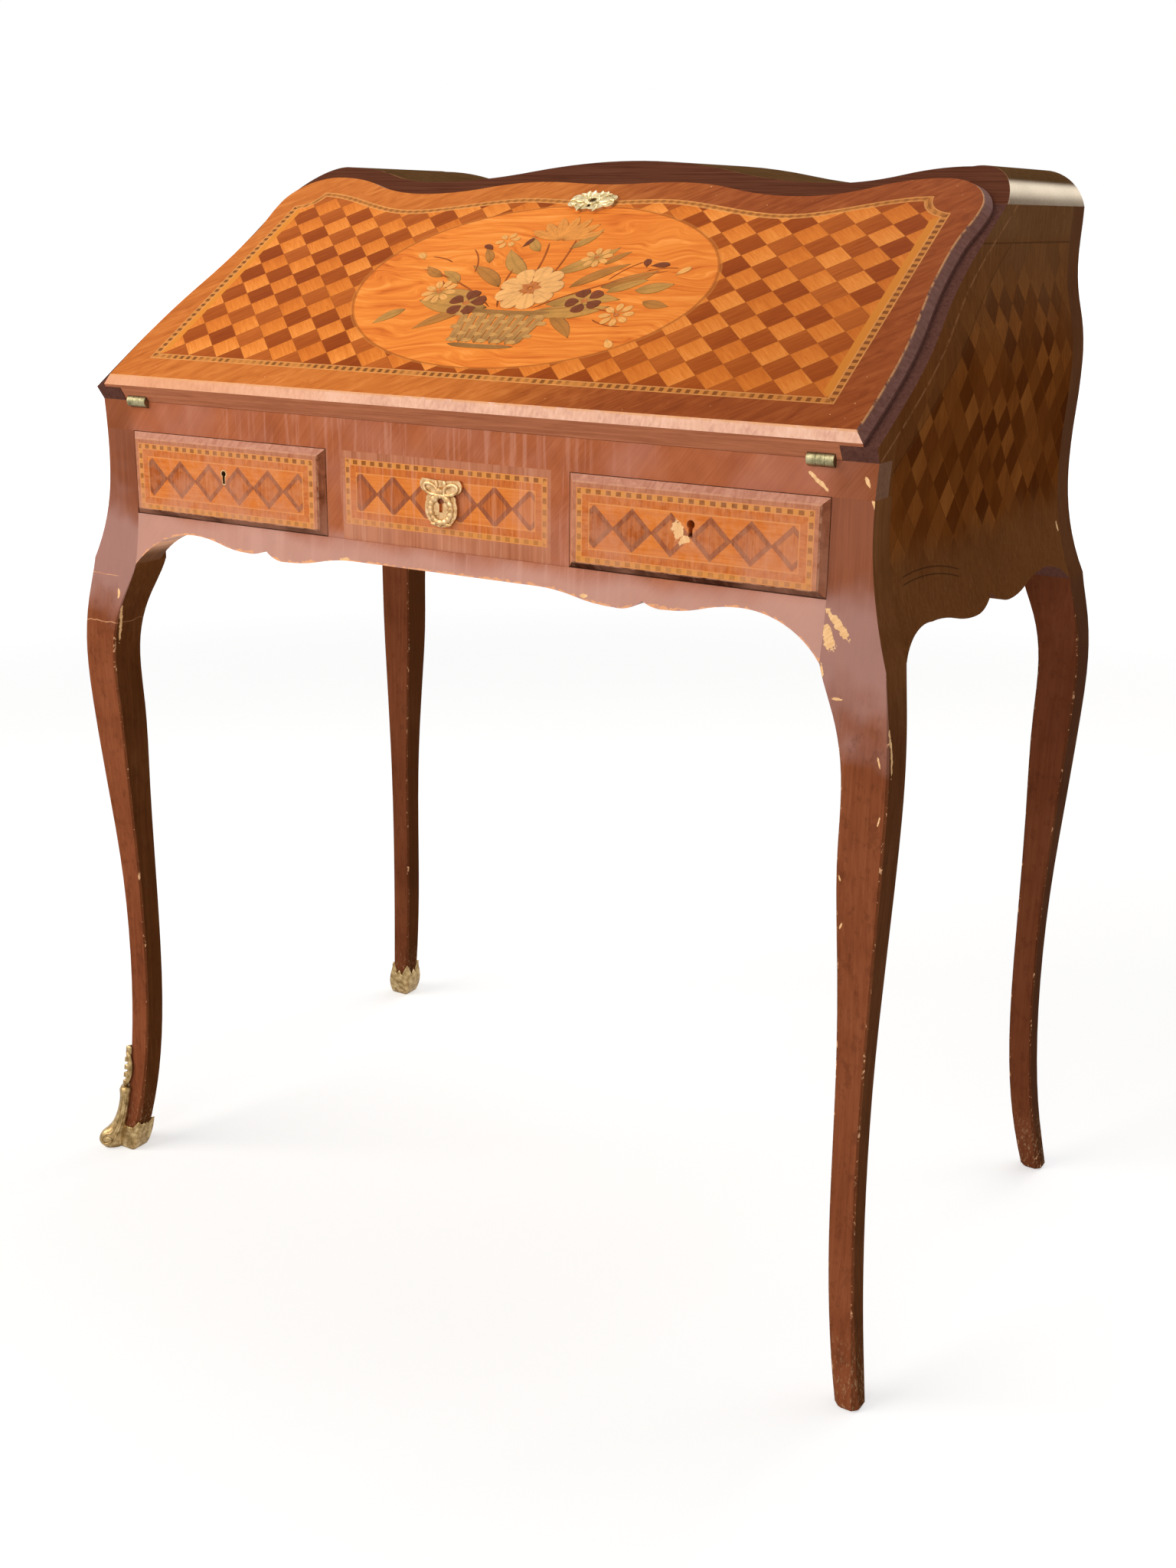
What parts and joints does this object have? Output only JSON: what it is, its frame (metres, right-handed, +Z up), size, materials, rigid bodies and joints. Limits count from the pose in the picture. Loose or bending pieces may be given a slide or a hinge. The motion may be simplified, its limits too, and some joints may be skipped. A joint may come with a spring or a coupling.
{
  "type": "escritoire",
  "caption": "Slant-front writing desk on cabriole legs: hinged fall with a lip, waved top, frieze drawers with locks, pigeonholes and a covered well inside.",
  "frame": {"origin": "on the floor, on the symmetry plane, under the middle of the case's depth", "axes": "+X to the viewer's right along the front, +Y from the front to the back, +Z up"},
  "size_m": [0.7825, 0.4681, 0.907],
  "materials": {
    "case_veneer": "aged shellac",
    "leg_wood": "worn shellac",
    "marquetry": "aged shellac over marquetry",
    "front_veneer": "aged shellac over parquetry",
    "inner_wood": "bare aged wood",
    "nest_wood": "satin",
    "gilt_brass": "aged gilt",
    "lock_steel": "dull",
    "leather": "worn"
  },
  "bodies": {
    "case": {"back_panel": "inner_wood", "centre_escutcheon": "gilt_brass", "centre_panel": "front_veneer", "drawer_deck": "inner_wood", "front_apron": "case_veneer", "front_left_leg": "leg_wood", "front_rail": "case_veneer", "front_right_leg": "leg_wood", "front_shoe": "gilt_brass", "left_drawer_guide": "inner_wood", "left_hinge_case_leaf": "gilt_brass", "left_hinge_pin": "gilt_brass", "left_muntin": "case_veneer", "left_side": "case_veneer", "nest_lower_dividers": "nest_wood", "nest_shelf": "nest_wood", "nest_upper_dividers": "nest_wood", "rear_left_leg": "leg_wood", "rear_right_leg": "leg_wood", "rear_shoe": "gilt_brass", "right_drawer_guide": "inner_wood", "right_hinge_case_leaf": "gilt_brass", "right_hinge_pin": "gilt_brass", "right_muntin": "case_veneer", "right_side": "case_veneer", "top_board": "case_veneer", "top_rail": "case_veneer", "well_back_wall": "inner_wood", "well_left_wall": "inner_wood", "well_right_wall": "inner_wood", "well_runners": "inner_wood", "writing_bed": "nest_wood"},
    "fall": {"fall_board": "marquetry", "writing_leather": "leather", "fall_lock": "lock_steel", "fall_escutcheon": "gilt_brass", "left_hinge_fall_leaf": "gilt_brass", "right_hinge_fall_leaf": "gilt_brass"},
    "fall_bolt": {"fall_bolt": "lock_steel"},
    "well_cover": {"well_cover": "inner_wood"},
    "left_drawer": {"left_drawer_front": "front_veneer", "left_drawer_sides": "inner_wood", "left_drawer_bottom": "inner_wood", "left_drawer_back": "inner_wood", "left_drawer_lock": "lock_steel", "left_keyhole_liner": "gilt_brass"},
    "left_drawer_bolt": {"left_drawer_bolt": "lock_steel"},
    "nest_left_drawer": {"nest_left_drawer_front": "front_veneer", "nest_left_drawer_tray": "inner_wood", "nest_left_knob": "gilt_brass"},
    "right_drawer": {"right_drawer_front": "front_veneer", "right_drawer_sides": "inner_wood", "right_drawer_bottom": "inner_wood", "right_drawer_back": "inner_wood", "right_drawer_lock": "lock_steel"},
    "right_drawer_bolt": {"right_drawer_bolt": "lock_steel"},
    "nest_right_drawer": {"nest_right_drawer_front": "front_veneer", "nest_right_drawer_tray": "inner_wood", "nest_right_knob": "gilt_brass"}
  },
  "joints": [
    {"name": "fall_hinge", "type": "hinge", "parent": "case", "child": "fall", "pos_m": [0, -0.212, 0.71], "axis": [1, 0, 0], "range_deg": [0, 147.5]},
    {"name": "fall_bolt_slide", "type": "slide", "parent": "fall", "child": "fall_bolt", "axis": [0, 0.8434, 0.5373], "range_m": [0, 0.0048]},
    {"name": "well_cover_slide", "type": "slide", "parent": "case", "child": "well_cover", "axis": [0, 1, 0], "range_m": [0, 0.138]},
    {"name": "left_drawer_slide", "type": "slide", "parent": "case", "child": "left_drawer", "axis": [0, -1, 0], "range_m": [0, 0.22]},
    {"name": "left_drawer_bolt_slide", "type": "slide", "parent": "left_drawer", "child": "left_drawer_bolt", "axis": [0, 0, 1], "range_m": [0, 0.0048]},
    {"name": "nest_left_drawer_slide", "type": "slide", "parent": "case", "child": "nest_left_drawer", "axis": [0, -1, 0], "range_m": [0, 0.13]},
    {"name": "right_drawer_slide", "type": "slide", "parent": "case", "child": "right_drawer", "axis": [0, -1, 0], "range_m": [0, 0.22]},
    {"name": "right_drawer_bolt_slide", "type": "slide", "parent": "right_drawer", "child": "right_drawer_bolt", "axis": [0, 0, 1], "range_m": [0, 0.0048]},
    {"name": "nest_right_drawer_slide", "type": "slide", "parent": "case", "child": "nest_right_drawer", "axis": [0, -1, 0], "range_m": [0, 0.13]}
  ]
}
